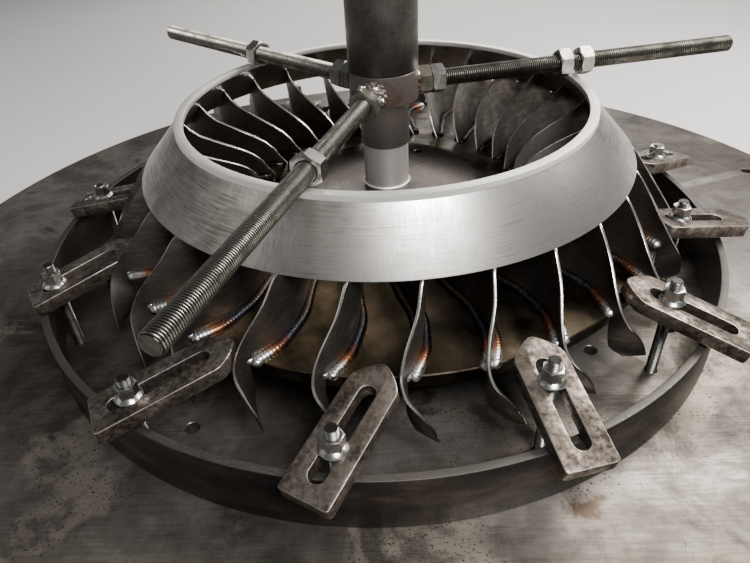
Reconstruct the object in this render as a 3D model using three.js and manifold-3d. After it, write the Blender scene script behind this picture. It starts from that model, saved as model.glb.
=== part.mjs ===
// Mixed flow impeller held in its welding jig.
// Millimetres, +Z up. The origin is the centre of the underside of the round table plate.
// Azimuth 0 is the front (-Y) and grows towards the right (+X).

import * as THREE from 'three';
import { mergeVertices } from 'three/addons/utils/BufferGeometryUtils.js';
import Module from 'manifold-3d';

const wasm = await Module();
wasm.setup();

// Fits
const SEAT = 0.3; // gap left between pieces that touch
const ROUND_SEGMENTS = 96; // flats round the large turned pieces

// Round table plate
const TABLE_RADIUS = 682;
const TABLE_THICKNESS = 25;
const TABLE_HOLE_RADIUS = 7.5;
// Spare holes of the plate: radius and azimuth
const TABLE_HOLES = [[370, -34], [306, 46.3], [367, 60.8], [627, 109]];

// Standing ring of rolled flat bar, a little off the impeller's axis
const RING_RADIUS = 424;
const RING_WALL = 8;
const RING_HEIGHT = 65;
const RING_SHIFT_X = -13;

// Hub: solid boss with a machined face, and the conical plate that carries the blades
const BOSS_RADIUS = 115.4;
const BOSS_TOP = 116;
// Blind bolt hole in the boss
const BOSS_HOLE = { radius: 5.5, depth: 12, distance: 91, azimuth: 150.8 };
const HUB_RADIUS = 332.2;
const HUB_TOP_INNER = 113.4;
const HUB_TOP_RIM = 88.4;
const HUB_THICKNESS = 13.7;

// Shroud: a short upright lip at the inlet, then a cone
const INLET_INNER_RADIUS = 235.7;
const INLET_OUTER_RADIUS = 246;
const INLET_TOP = 224.1;
const LIP_HEIGHT = 5.8;
const SHROUD_RADIUS = 294.6;
const SHROUD_BOTTOM = 166.1;

// Shaft, collar and tube on the impeller's axis
const SHAFT_RADIUS = 28;
const SHAFT_UPPER_RADIUS = 29.7;
const SHAFT_STEP = 169;
const SHAFT_TOP = 318;
const COLLAR_RADIUS = 40.8;
const COLLAR_BOTTOM = 224;
const COLLAR_TOP = 259;
const TUBE_RADIUS = COLLAR_RADIUS;
const TUBE_TOP = 424;

// Blades
const BLADE_COUNT = 28;
const BLADE_THICKNESS = 3;
const BLADE_CELLS_HIGH = 5;
// Radius and height of the curved leading edge, from the hub to the shroud
const LEADING_EDGE = [
  [158, 108.8], [161.5, 118], [165.5, 132], [176, 145.7], [190, 155.6],
  [206, 164], [222, 171.4], [240, 180.5], [256.1, 195.8],
];
const BLADE_TIP_RADIUS = 256.1;
// Azimuth in degrees of a blade on the hub, by radius
const BLADE_CAMBER = [
  [145.2, -4.6], [170, -1.5], [199, 1.3], [225, 3.3], [250, 5],
  [271, 5.6], [297, 5.1], [318, 3.7], [352, 0.6],
];
// Extra azimuth in degrees of a blade's top edge over its foot, by radius
const BLADE_LEAN = [
  [158, 0.6], [161.5, 2.1], [165.5, 3.8], [176, 5], [190, 5.7], [206, 5.7],
  [222, 5.3], [240, 4.5], [256, 3.5], [280, 1.4], [297, 0], [352, 0],
];
// Feet of the blade stations on the hub, and how far up the shroud or trailing edge each one ends
const PASSAGE_FEET = [158, 182, 210, 242, 269, 297, 318];
const TRAILING_TIPS = [[294.7, 165.6], [312.7, 143.3]];
// The tail below the hub's rim: inner edge, outer edge (radius, height, azimuth)
const TAIL = [
  { inner: [333, 88.8, 2.2], outer: [331.6, 118.7, 1.9] },
  { inner: [333.4, 79, 1.9], outer: [345.6, 99.6, 1] },
  { inner: [334, 68, 1.8], outer: [355.3, 84.8, 1.5] },
  { inner: [335, 57, 1.9], outer: [361.7, 67.8, 3.5] },
  { inner: [338.5, 46.5, 2], outer: [365.1, 50.9, 5.3] },
  { inner: [351, 38, 3], outer: [366.3, 37.3, 6.2] },
];

// Three M20 threaded rods in the collar's welded nuts, and the nuts on them.
// A corner of each nut points down and bears on the shroud's lip, and the rod passes over the lip.
const ROD_RADIUS = 10;
const ROD_HEIGHT = 239;
const NUT_FLATS = 30;
const NUT_THICKNESS = 16;
// Weld metal between the collar and the nut welded to it
const WELD_NECK_RADIUS = 14;
const RODS = [
  { name: 'front', azimuth: -18, end: 472, weldedNutEnd: 79, jamNut: false },
  { name: 'right', azimuth: 102.7, end: 458, weldedNutEnd: 56.5, jamNut: true },
  { name: 'left', azimuth: -131, end: 435, weldedNutEnd: 59, jamNut: true },
];

// Strap clamps: slotted strap, M12 stud and flange nut
const STRAP_WIDTH = 48;
const STRAP_THICKNESS = 15;
// Half outline of the pointed end: distance from the tip and half width
const STRAP_POINT = [[0, 2], [5, 10], [12, 17.5], [21, STRAP_WIDTH / 2]];
const SLOT_WIDTH = 16;
const STUD_RADIUS = 5.9;
const STUD_DEPTH = 20;
const FLANGE_RADIUS = 13;
const FLANGE_HEIGHT = 4;
const STUD_NUT_FLATS = 18;
const STUD_NUT_HEIGHT = 12;
// The gap between blades that holds the toe, the toe's radius, the heel's azimuth, the strap's length,
// the stud's distance from the toe and its top. The seventh strap is turned end for end.
const CLAMPS = [
  { gap: -7.93, toe: 316, heel: -95.4, length: 120, stud: 78, top: 107 },
  { gap: -6.02, toe: 315, heel: -65.5, length: 127, stud: 99, top: 112 },
  { gap: -2.68, toe: 329, heel: -36.5, length: 138, stud: 103, top: 110 },
  { gap: -0.73, toe: 331, heel: -9, length: 134, stud: 88, top: 112 },
  { gap: 1.09, toe: 324, heel: 20.1, length: 127, stud: 49, top: 119 },
  { gap: 2.95, toe: 322, heel: 50.9, length: 128, stud: 49, top: 119 },
  { gap: 4.72, toe: 324, heel: 82.2, length: 150, stud: 39, top: 124, turned: true },
  { gap: 6.85, toe: 330, heel: 107, length: 145, stud: 76, top: 107 },
  { gap: 10, toe: 324, heel: 139.5, length: 128, stud: 62, top: 120 },
  { gap: 12, toe: 324, heel: 160.5, length: 128, stud: 68, top: 116 },
  { gap: 15, toe: 324, heel: 204, length: 128, stud: 64, top: 122 },
  { gap: 17, toe: 324, heel: 224.5, length: 128, stud: 70, top: 118 },
];
// Slot: solid metal left at the pointed end and at the square end
const SLOT_FROM_POINT = 24;
const SLOT_FROM_SQUARE = 15;
const TURNED_SLOT_FROM_POINT = 45;
// Radius at which the heel's azimuth is taken
const HEEL_RADIUS = 445;
// Azimuth of the middle of the gap between blades 0 and 1 at the hub's rim
const GAP_AZIMUTH = 8.4;

const PITCH = 360 / BLADE_COUNT;

const STEEL = {
  table: { color: 0x6f6a66, roughness: 0.6, metalness: 0.8 },
  ring: { color: 0x3b3836, roughness: 0.6, metalness: 0.7 },
  hub: { color: 0x6b5a4a, roughness: 0.5, metalness: 0.8 },
  machined: { color: 0xa59c94, roughness: 0.3, metalness: 1 },
  shroud: { color: 0x9a9692, roughness: 0.35, metalness: 1 },
  blade: { color: 0x5c5854, roughness: 0.45, metalness: 0.9 },
  tube: { color: 0x4a4743, roughness: 0.5, metalness: 0.8 },
  collar: { color: 0x6d584b, roughness: 0.7, metalness: 0.6 },
  thread: { color: 0x8d8a80, roughness: 0.4, metalness: 1 },
  nut: { color: 0x9c9a92, roughness: 0.35, metalness: 1 },
  clamp: { color: 0x7a726a, roughness: 0.5, metalness: 0.9 },
};

const radians = THREE.MathUtils.degToRad;

function material(name) {
  return new THREE.MeshStandardMaterial(STEEL[name]);
}

function named(name, geometry, finish) {
  const mesh = new THREE.Mesh(geometry, material(finish));
  mesh.name = name;
  return mesh;
}

// A point at a radius and azimuth
function polar(radius, azimuth) {
  const angle = radians(azimuth);
  return new THREE.Vector2(radius * Math.sin(angle), -radius * Math.cos(angle));
}

// A group whose +X axis points outwards at an azimuth
function outward(azimuth, ...children) {
  const group = new THREE.Group();
  group.rotation.z = radians(azimuth - 90);
  group.add(...children);
  return group;
}

// Solids for joining and cutting

function toSolid(geometry) {
  const bare = geometry.clone();
  bare.deleteAttribute('normal');
  bare.deleteAttribute('uv');
  const merged = mergeVertices(bare, 1e-4);
  return new wasm.Manifold(new wasm.Mesh({
    numProp: 3,
    vertProperties: new Float32Array(merged.attributes.position.array),
    triVerts: new Uint32Array(merged.index.array),
  }));
}

function toGeometry(solid) {
  const mesh = solid.getMesh();
  const geometry = new THREE.BufferGeometry();
  geometry.setAttribute('position', new THREE.BufferAttribute(mesh.vertProperties, 3));
  geometry.setIndex(new THREE.BufferAttribute(mesh.triVerts, 1));
  geometry.computeVertexNormals();
  return geometry;
}

// Basic shapes, all standing on +Z

// A closed profile of [radius, height] points, counter-clockwise, turned about Z
function turned(profile, segments) {
  const points = [...profile, profile[0]].map(([radius, height]) => new THREE.Vector2(radius, height));
  return new THREE.LatheGeometry(points, segments).rotateX(Math.PI / 2);
}

function turnedSleeve(inner, outer, bottom, top, segments) {
  return turned([[inner, bottom], [outer, bottom], [outer, top], [inner, top]], segments);
}

function cylinder(radius, bottom, top, segments) {
  const height = top - bottom;
  const geometry = new THREE.CylinderGeometry(radius, radius, height, segments);
  return geometry.rotateX(Math.PI / 2).translate(0, 0, bottom + height / 2);
}

function hexagon(flats) {
  const corner = flats / Math.sqrt(3);
  const points = [];
  for (let i = 0; i < 6; i += 1) {
    const angle = i * Math.PI / 3;
    points.push(new THREE.Vector2(corner * Math.cos(angle), corner * Math.sin(angle)));
  }
  return points;
}

function circlePath(x, y, radius, segments) {
  const points = [];
  for (let i = 0; i < segments; i += 1) {
    const angle = i * 2 * Math.PI / segments;
    points.push(new THREE.Vector2(x + radius * Math.cos(angle), y + radius * Math.sin(angle)));
  }
  return new THREE.Path(points);
}

function extruded(shape, bottom, top) {
  const geometry = new THREE.ExtrudeGeometry(shape, { depth: top - bottom, bevelEnabled: false });
  return geometry.translate(0, 0, bottom);
}

function hexPrism(flats, bottom, top, boreRadius = 0) {
  const shape = new THREE.Shape(hexagon(flats));
  if (boreRadius > 0) shape.holes.push(circlePath(0, 0, boreRadius, 16));
  return extruded(shape, bottom, top);
}

// Lays a shape that stands on +Z along +X at the rods' height, with a corner of a nut pointing down
function alongRod(geometry) {
  return geometry.rotateY(Math.PI / 2).translate(0, 0, ROD_HEIGHT);
}

// Table plate, standing ring, hub and shroud

function tablePlate(studs) {
  const outline = circlePath(0, 0, TABLE_RADIUS, ROUND_SEGMENTS).getPoints();
  const shape = new THREE.Shape(outline);
  for (const [radius, azimuth] of TABLE_HOLES) {
    const centre = polar(radius, azimuth);
    shape.holes.push(circlePath(centre.x, centre.y, TABLE_HOLE_RADIUS, 10));
  }
  for (const stud of studs) {
    shape.holes.push(circlePath(stud.x, stud.y, STUD_RADIUS + 2 * SEAT, 8));
  }
  return named('table_plate', extruded(shape, -TABLE_THICKNESS, 0), 'table');
}

function standingRing() {
  const geometry = turnedSleeve(RING_RADIUS - RING_WALL, RING_RADIUS, SEAT, RING_HEIGHT, ROUND_SEGMENTS);
  const ring = named('standing_ring', geometry, 'ring');
  ring.position.x = RING_SHIFT_X;
  return ring;
}

function hubBoss() {
  const disc = toSolid(turnedSleeve(SHAFT_RADIUS + SEAT, BOSS_RADIUS, SEAT, BOSS_TOP, 48));
  const { radius, depth, distance, azimuth } = BOSS_HOLE;
  const place = polar(distance, azimuth);
  const hole = cylinder(radius, BOSS_TOP - depth, BOSS_TOP + 1, 12).translate(place.x, place.y, 0);
  return named('hub_boss', toGeometry(disc.subtract(toSolid(hole))), 'machined');
}

// Height of the hub plate's upper face at a radius
function hubHeight(radius) {
  const share = (radius - BOSS_RADIUS) / (HUB_RADIUS - BOSS_RADIUS);
  return THREE.MathUtils.lerp(HUB_TOP_INNER, HUB_TOP_RIM, share);
}

function hubPlate() {
  const inner = BOSS_RADIUS + SEAT;
  const top = hubHeight(inner);
  const profile = [
    [inner, top - HUB_THICKNESS],
    [HUB_RADIUS, HUB_TOP_RIM - HUB_THICKNESS],
    [HUB_RADIUS, HUB_TOP_RIM],
    [inner, top],
  ];
  return named('hub_plate', turned(profile, ROUND_SEGMENTS), 'hub');
}

const LIP_BOTTOM = INLET_TOP - LIP_HEIGHT;
const SHROUD_WALL = INLET_OUTER_RADIUS - INLET_INNER_RADIUS;
const SHROUD_INNER_RADIUS = SHROUD_RADIUS - SHROUD_WALL;

// Height of the shroud's inner face at a radius
function shroudHeight(radius) {
  const share = (radius - INLET_INNER_RADIUS) / (SHROUD_INNER_RADIUS - INLET_INNER_RADIUS);
  return THREE.MathUtils.lerp(LIP_BOTTOM, SHROUD_BOTTOM, share);
}

function shroud() {
  const profile = [
    [SHROUD_INNER_RADIUS, SHROUD_BOTTOM],
    [SHROUD_RADIUS, SHROUD_BOTTOM],
    [INLET_OUTER_RADIUS, LIP_BOTTOM],
    [INLET_OUTER_RADIUS, INLET_TOP],
    [INLET_INNER_RADIUS, INLET_TOP],
    [INLET_INNER_RADIUS, LIP_BOTTOM],
  ];
  return named('shroud', turned(profile, ROUND_SEGMENTS), 'shroud');
}

// Shaft, collar and tube

function shaft() {
  const profile = [
    [0, SEAT], [SHAFT_RADIUS, SEAT], [SHAFT_RADIUS, SHAFT_STEP],
    [SHAFT_UPPER_RADIUS, SHAFT_STEP], [SHAFT_UPPER_RADIUS, SHAFT_TOP], [0, SHAFT_TOP],
  ];
  const points = profile.map(([radius, height]) => new THREE.Vector2(radius, height));
  return named('shaft', new THREE.LatheGeometry(points, 32).rotateX(Math.PI / 2), 'machined');
}

function collar() {
  const sunk = SHAFT_UPPER_RADIUS + 4;
  let solid = toSolid(turnedSleeve(SHAFT_UPPER_RADIUS + SEAT, COLLAR_RADIUS, COLLAR_BOTTOM, COLLAR_TOP, 32));
  for (const rod of RODS) {
    const angle = radians(rod.azimuth - 90);
    const nutStart = rod.weldedNutEnd - NUT_THICKNESS;
    const neck = alongRod(cylinder(WELD_NECK_RADIUS, sunk, nutStart + 2, 16));
    const nut = alongRod(hexPrism(NUT_FLATS, nutStart, rod.weldedNutEnd));
    const bore = alongRod(cylinder(ROD_RADIUS + 2 * SEAT, COLLAR_RADIUS + SEAT, rod.weldedNutEnd + 5, 16));
    solid = solid.add(toSolid(neck.rotateZ(angle))).add(toSolid(nut.rotateZ(angle)));
    solid = solid.subtract(toSolid(bore.rotateZ(angle)));
  }
  return named('collar', toGeometry(solid), 'collar');
}

function tube() {
  const inner = SHAFT_UPPER_RADIUS + 2 * SEAT;
  return named('tube', turnedSleeve(inner, TUBE_RADIUS, COLLAR_TOP + SEAT, TUBE_TOP, 32), 'tube');
}

// Threaded rods and their centring nuts

function threadedRod(rod) {
  const bar = alongRod(cylinder(ROD_RADIUS, COLLAR_RADIUS + 2 * SEAT, rod.end, 16));
  let solid = toSolid(bar);
  if (rod.jamNut) {
    const start = rod.weldedNutEnd + SEAT;
    solid = solid.add(toSolid(alongRod(hexPrism(NUT_FLATS, start, start + NUT_THICKNESS))));
  }
  return outward(rod.azimuth, named(`threaded_rod_${rod.name}`, toGeometry(solid), 'thread'));
}

function centringNut(name, rod, start) {
  const nut = alongRod(hexPrism(NUT_FLATS, start, start + NUT_THICKNESS, ROD_RADIUS + 2 * SEAT));
  return outward(rod.azimuth, named(`centring_nut_${name}`, nut, 'nut'));
}

function centringNuts() {
  // The lowest corner of a nut dips below the top of the lip and touches the lip's round inside there
  const dip = INLET_TOP - (ROD_HEIGHT - NUT_FLATS / Math.sqrt(3));
  const innerFlat = INLET_INNER_RADIUS * Math.cos(Math.PI / ROUND_SEGMENTS);
  const inside = Math.sqrt(innerFlat ** 2 - 3 * dip ** 2) - SEAT - NUT_THICKNESS;
  const outside = INLET_OUTER_RADIUS + SEAT;
  const [front, right, left] = RODS;
  return [
    centringNut('front', front, inside),
    centringNut('right_inner', right, inside),
    centringNut('right_outer', right, outside),
    centringNut('left', left, inside),
  ];
}

// Blades

// Smooth value of a table of [position, value] rows
function smooth(table, position) {
  const last = table.length - 1;
  if (position <= table[0][0]) return table[0][1];
  if (position >= table[last][0]) return table[last][1];
  let i = 0;
  while (table[i + 1][0] < position) i += 1;
  const slope = (k) => {
    const before = table[Math.max(k - 1, 0)];
    const after = table[Math.min(k + 1, last)];
    return (after[1] - before[1]) / (after[0] - before[0]);
  };
  const width = table[i + 1][0] - table[i][0];
  const t = (position - table[i][0]) / width;
  const rise = table[i + 1][1] - table[i][1];
  const a = slope(i) * width - rise;
  const b = rise - slope(i + 1) * width;
  return table[i][1] + rise * t + t * (1 - t) * (a * (1 - t) + b * t);
}

// Height of a blade's upper edge at a radius: leading edge, then the shroud's inner face
function bladeTop(radius) {
  if (radius > BLADE_TIP_RADIUS) return Math.max(shroudHeight(radius), SHROUD_BOTTOM);
  return smooth(LEADING_EDGE, radius);
}

function bladeAzimuth(radius, height) {
  const foot = hubHeight(radius);
  const full = Math.max(bladeTop(radius) - foot, 1);
  const share = THREE.MathUtils.clamp((height - foot) / full, 0, 1);
  return smooth(BLADE_CAMBER, radius) + smooth(BLADE_LEAN, radius) * share;
}

// Rows of [radius, height, azimuth] from the leading edge round to the end of the tail
function bladeRows() {
  const edgePoints = LEADING_EDGE.map(([radius, height]) => new THREE.Vector2(radius, height));
  const leading = new THREE.SplineCurve(edgePoints).getSpacedPoints(BLADE_CELLS_HIGH);
  const rows = [leading.map(({ x, y }) => [x, y, bladeAzimuth(x, y)])];
  const shroudFeet = PASSAGE_FEET.length - TRAILING_TIPS.length;
  PASSAGE_FEET.slice(1).forEach((footRadius, n) => {
    const i = n + 1;
    const foot = [footRadius, hubHeight(footRadius) + SEAT];
    let tip;
    if (i < shroudFeet) {
      const share = i / (shroudFeet - 1);
      const radius = THREE.MathUtils.lerp(BLADE_TIP_RADIUS, SHROUD_INNER_RADIUS - SEAT, share);
      tip = [radius, shroudHeight(radius) - 2 * SEAT];
    } else {
      tip = TRAILING_TIPS[i - shroudFeet];
    }
    const row = [];
    for (let j = 0; j <= BLADE_CELLS_HIGH; j += 1) {
      const share = j / BLADE_CELLS_HIGH;
      const radius = THREE.MathUtils.lerp(foot[0], tip[0], share);
      const height = THREE.MathUtils.lerp(foot[1], tip[1], share);
      row.push([radius, height, bladeAzimuth(radius, height)]);
    }
    rows.push(row);
  });
  for (const { inner, outer } of TAIL) {
    const row = [];
    for (let j = 0; j <= BLADE_CELLS_HIGH; j += 1) {
      const share = j / BLADE_CELLS_HIGH;
      row.push(inner.map((value, k) => THREE.MathUtils.lerp(value, outer[k], share)));
    }
    rows.push(row);
  }
  return rows;
}

function bladePoint([radius, height, azimuth]) {
  const flat = polar(radius, azimuth);
  return new THREE.Vector3(flat.x, flat.y, height);
}

// The blade is a sheet of even thickness about its middle surface
function bladeGeometry() {
  const rows = bladeRows();
  const columns = rows[0].length;
  const middle = rows.map((row) => row.map(bladePoint));
  const positions = [];
  const sides = [1, -1];
  for (const side of sides) {
    rows.forEach((row, i) => row.forEach(([radius, height, azimuth], j) => {
      const along = new THREE.Vector3().subVectors(
        middle[Math.min(i + 1, rows.length - 1)][j], middle[Math.max(i - 1, 0)][j]);
      const across = new THREE.Vector3().subVectors(
        middle[i][Math.min(j + 1, columns - 1)], middle[i][Math.max(j - 1, 0)]);
      const normal = along.cross(across).normalize();
      const tangent = new THREE.Vector3(Math.cos(radians(azimuth)), Math.sin(radians(azimuth)), 0);
      const facing = Math.max(Math.abs(normal.dot(tangent)), 0.6);
      const shift = side * (BLADE_THICKNESS / 2) / facing / radius;
      const point = bladePoint([radius, height, azimuth + THREE.MathUtils.radToDeg(shift)]);
      positions.push(point.x, point.y, point.z);
    }));
  }
  const index = (side, i, j) => side * rows.length * columns + i * columns + j;
  const faces = [];
  const quad = (a, b, c, d) => faces.push(a, c, b, a, d, c);
  for (let i = 0; i + 1 < rows.length; i += 1) {
    for (let j = 0; j + 1 < columns; j += 1) {
      quad(index(0, i, j), index(0, i + 1, j), index(0, i + 1, j + 1), index(0, i, j + 1));
      quad(index(1, i, j), index(1, i, j + 1), index(1, i + 1, j + 1), index(1, i + 1, j));
    }
    const top = columns - 1;
    quad(index(0, i, 0), index(1, i, 0), index(1, i + 1, 0), index(0, i + 1, 0));
    quad(index(0, i, top), index(0, i + 1, top), index(1, i + 1, top), index(1, i, top));
  }
  const end = rows.length - 1;
  for (let j = 0; j + 1 < columns; j += 1) {
    quad(index(0, 0, j), index(0, 0, j + 1), index(1, 0, j + 1), index(1, 0, j));
    quad(index(0, end, j), index(1, end, j), index(1, end, j + 1), index(0, end, j + 1));
  }
  const geometry = new THREE.BufferGeometry();
  geometry.setAttribute('position', new THREE.Float32BufferAttribute(positions, 3));
  geometry.setIndex(faces);
  geometry.computeVertexNormals();
  return geometry;
}

function blades() {
  const geometry = bladeGeometry();
  const meshes = [];
  for (let k = 0; k < BLADE_COUNT; k += 1) {
    const blade = named(`blade_${String(k + 1).padStart(2, '0')}`, geometry, 'blade');
    blade.rotation.z = radians(k * PITCH);
    meshes.push(blade);
  }
  return meshes;
}

// Strap clamps

// Where a clamp stands: its toe, the direction it points out in, and its stud
function clampPlace(clamp) {
  const toe = polar(clamp.toe, GAP_AZIMUTH + clamp.gap * PITCH);
  const heel = polar(HEEL_RADIUS, clamp.heel);
  const direction = heel.clone().sub(toe).normalize();
  const stud = toe.clone().addScaledVector(direction, clamp.stud);
  return { toe, direction, stud };
}

// Distance from the toe, along the strap, of the farthest point of a circle that lies under it
function reachUnderStrap({ toe, direction }, length, radius, centreX) {
  const steps = 720;
  let reach = 0;
  for (let i = 0; i < steps; i += 1) {
    const point = polar(radius, i * 360 / steps);
    point.x += centreX;
    point.sub(toe);
    const along = point.dot(direction);
    const across = point.cross(direction);
    if (Math.abs(across) <= STRAP_WIDTH / 2 && along < length) reach = Math.max(reach, along);
  }
  return reach;
}

function strapShape({ length, turned: turnedRound = false }) {
  const half = STRAP_WIDTH / 2;
  // Along the strap from its toe, whichever end the toe is
  const along = (fromPoint) => (turnedRound ? length - fromPoint : fromPoint);
  const side = STRAP_POINT.map(([fromPoint, across]) => [along(fromPoint), -across]);
  side.push([along(length), -half]);
  const lower = turnedRound ? side.reverse() : side;
  const upper = lower.map(([x, y]) => [x, -y]).reverse();
  const pointMargin = turnedRound ? TURNED_SLOT_FROM_POINT : SLOT_FROM_POINT;
  const slotHalf = SLOT_WIDTH / 2;
  const centres = [along(pointMargin + slotHalf), along(length - SLOT_FROM_SQUARE - slotHalf)];
  const slot = [];
  for (const [centre, start] of [[Math.max(...centres), 90], [Math.min(...centres), -90]]) {
    for (let i = 0; i <= 4; i += 1) {
      const angle = radians(start - i * 45);
      slot.push([centre + slotHalf * Math.cos(angle), slotHalf * Math.sin(angle)]);
    }
  }
  const point = ([x, y]) => new THREE.Vector2(x, y);
  const shape = new THREE.Shape([...lower, ...upper].map(point));
  shape.holes.push(new THREE.Path(slot.map(point)));
  return shape;
}

function clampMesh(clamp, number) {
  const place = clampPlace(clamp);
  const rimReach = reachUnderStrap(place, clamp.length, HUB_RADIUS, 0);
  const ringReach = reachUnderStrap(place, clamp.length, RING_RADIUS, RING_SHIFT_X);
  const slope = (HUB_TOP_RIM - RING_HEIGHT) / (ringReach - rimReach);
  const tilt = Math.atan(slope);
  const strap = extruded(strapShape(clamp), 0, STRAP_THICKNESS).translate(-rimReach, 0, 0);
  strap.rotateY(tilt).translate(rimReach, 0, HUB_TOP_RIM + 1.5 * SEAT);
  const top = HUB_TOP_RIM + STRAP_THICKNESS / Math.cos(tilt) - (clamp.stud - rimReach) * slope;
  const flangeBottom = top - FLANGE_RADIUS * slope;
  const flangeTop = top + FLANGE_HEIGHT;
  const stud = cylinder(STUD_RADIUS, -STUD_DEPTH, clamp.top, 8).translate(clamp.stud, 0, 0);
  const flange = cylinder(FLANGE_RADIUS, flangeBottom, flangeTop, 12).translate(clamp.stud, 0, 0);
  const nut = hexPrism(STUD_NUT_FLATS, flangeTop - SEAT, flangeTop + STUD_NUT_HEIGHT);
  nut.translate(clamp.stud, 0, 0);
  const solid = [flange, stud, nut].reduce((sum, piece) => sum.add(toSolid(piece)), toSolid(strap));
  const mesh = named(`strap_clamp_${String(number).padStart(2, '0')}`, toGeometry(solid), 'clamp');
  mesh.rotation.z = Math.atan2(place.direction.y, place.direction.x);
  mesh.position.set(place.toe.x, place.toe.y, 0);
  return mesh;
}

// Assembly, raised so that the table plate's underside is at zero

const impeller = new THREE.Group();
impeller.position.z = TABLE_THICKNESS;
impeller.add(tablePlate(CLAMPS.map((clamp) => clampPlace(clamp).stud)));
impeller.add(standingRing(), hubBoss(), hubPlate(), shroud());
impeller.add(shaft(), collar(), tube());
impeller.add(...RODS.map(threadedRod), ...centringNuts());
impeller.add(...blades());
impeller.add(...CLAMPS.map((clamp, i) => clampMesh(clamp, i + 1)));

export default impeller;
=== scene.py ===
import math
import random

import bmesh
import bpy
from mathutils import Matrix, Vector
from mathutils.geometry import tessellate_polygon


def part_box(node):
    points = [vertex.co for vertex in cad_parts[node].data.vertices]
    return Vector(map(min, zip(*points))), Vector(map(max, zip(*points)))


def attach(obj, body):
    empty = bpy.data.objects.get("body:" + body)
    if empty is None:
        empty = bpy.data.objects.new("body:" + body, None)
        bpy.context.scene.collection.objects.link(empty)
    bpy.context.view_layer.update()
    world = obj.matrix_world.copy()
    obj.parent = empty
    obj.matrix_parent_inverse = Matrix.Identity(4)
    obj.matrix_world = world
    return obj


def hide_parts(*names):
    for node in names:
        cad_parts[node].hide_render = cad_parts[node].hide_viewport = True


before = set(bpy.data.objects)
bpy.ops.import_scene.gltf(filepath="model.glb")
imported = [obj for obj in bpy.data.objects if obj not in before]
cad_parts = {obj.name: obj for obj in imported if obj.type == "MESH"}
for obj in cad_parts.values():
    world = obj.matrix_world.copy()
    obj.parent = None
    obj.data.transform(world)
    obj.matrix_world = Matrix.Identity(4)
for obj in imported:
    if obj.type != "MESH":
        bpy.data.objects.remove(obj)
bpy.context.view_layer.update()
random.seed(7)

# Sizes in metres, heights over the table plate's top. Azimuth 0 is the front (-Y) and grows towards +X.
MM = 0.001
# The gap between pieces that touch
SEAT = 0.3 * MM
# How many sides the round pieces have
PLATE_SIDES, DISC_SIDES, SHAFT_SIDES, FLANGE_SIDES = 360, 192, 96, 48
NECK_SIDES, ROD_SIDES, HOLE_SIDES, STUD_SIDES = 32, 24, 24, 16

TABLE_BOTTOM, TABLE_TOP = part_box("table_plate")[0].z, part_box("table_plate")[1].z
TABLE_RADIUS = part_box("table_plate")[1].x
TABLE_HOLES = [(0.370, -34), (0.306, 46.3), (0.367, 60.8), (0.627, 109)]
TABLE_HOLE_RADIUS = 7.5 * MM
TABLE_EDGE = 1.5 * MM
COUNTERSINK = 0.8 * MM
STUD_COUNTERSINK = 0.6 * MM
# Height at which the drills for the plate end, below its underside
DRILL_END = -5 * MM

RING_RADIUS = 0.424
RING_WALL = 8 * MM
RING_HEIGHT = 65 * MM
RING_SHIFT_X = -13 * MM
RING_EDGE = 1.2 * MM

BOSS_RADIUS = 115.4 * MM
BOSS_TOP = 116 * MM
BOSS_EDGE = 1.0 * MM
BOSS_HOLE_PLACE = (91 * MM, 150.8)
BOSS_HOLE_RADIUS = 5.5 * MM
BOSS_HOLE_DEPTH = 12 * MM
HUB_RADIUS = 332.2 * MM
HUB_TOP_INNER = 113.4 * MM
HUB_TOP_RIM = 88.4 * MM
HUB_THICKNESS = 13.7 * MM
# The hub's mesh is fine enough to carry the heat colours
HUB_RINGS, HUB_SIDES_PER_BLADE = 44, 16
# Heat colours: the radius where they start to strengthen, over what length, how far they reach aside,
# and their strength before that radius
HEAT_START = 0.235
HEAT_RISE = 0.06
HEAT_REACH = 17 * MM
HEAT_LEAST = 0.35

INLET_INNER_RADIUS = 235.7 * MM
INLET_OUTER_RADIUS = 246 * MM
INLET_TOP = 224.1 * MM
LIP_HEIGHT = 5.8 * MM
LIP_BOTTOM = INLET_TOP - LIP_HEIGHT
SHROUD_RADIUS = 294.6 * MM
SHROUD_BOTTOM = 166.1 * MM
SHROUD_EDGE = 0.9 * MM
SHROUD_INNER_RADIUS = SHROUD_RADIUS - (INLET_OUTER_RADIUS - INLET_INNER_RADIUS)

SHAFT_RADIUS = 28 * MM
SHAFT_UPPER_RADIUS = 29.7 * MM
SHAFT_STEP = 169 * MM
SHAFT_FILLET = 2 * MM
SHAFT_TOP = 318 * MM
COLLAR_RADIUS = 40.8 * MM
COLLAR_BOTTOM = 224 * MM
COLLAR_TOP = 259 * MM
COLLAR_EDGE = 1.2 * MM
TUBE_TOP = 424 * MM
TUBE_EDGE = 1.4 * MM

# Threaded rods, taken to be M20: name, azimuth, end, end of the nut welded to the collar, jam nut or not
ROD_RADIUS = 10 * MM
ROD_PITCH = 2.5 * MM
ROD_HEIGHT = 239 * MM
RODS = [
    ("front", -18, 0.472, 0.079, False),
    ("right", 102.7, 0.458, 0.0565, True),
    ("left", -131, 0.435, 0.059, True),
]
NUT_FLATS = 30 * MM
NUT_THICKNESS = 16 * MM
WELD_NECK_RADIUS = 14 * MM
WELD_NECK_START = 34 * MM
WELD_START = 36 * MM
WELD_ROW = 5 * MM
# Weld drops round a neck, and the least and greatest radius of dull and bright ones
DROP_COUNT = 13
DULL_DROP, BRIGHT_DROP = (3.2 * MM, 4.4 * MM), (4.2 * MM, 5.0 * MM)
# How far a tight nut's bore lies inside its thread
THREAD_GRIP = 0.5 * MM
# Shares: a thread's depth of its pitch, its core of its depth, the slope of its end, and how much of the
# plain crest colour its end face gets against the painted groove shade
THREAD_DEPTH, THREAD_CORE, END_SLOPE, END_PAINTED_LIGHT = 0.6, 0.9, 0.8, 0.35
# The share of a nut's flats where its chamfer starts
NUT_CONE = 0.9672

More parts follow.
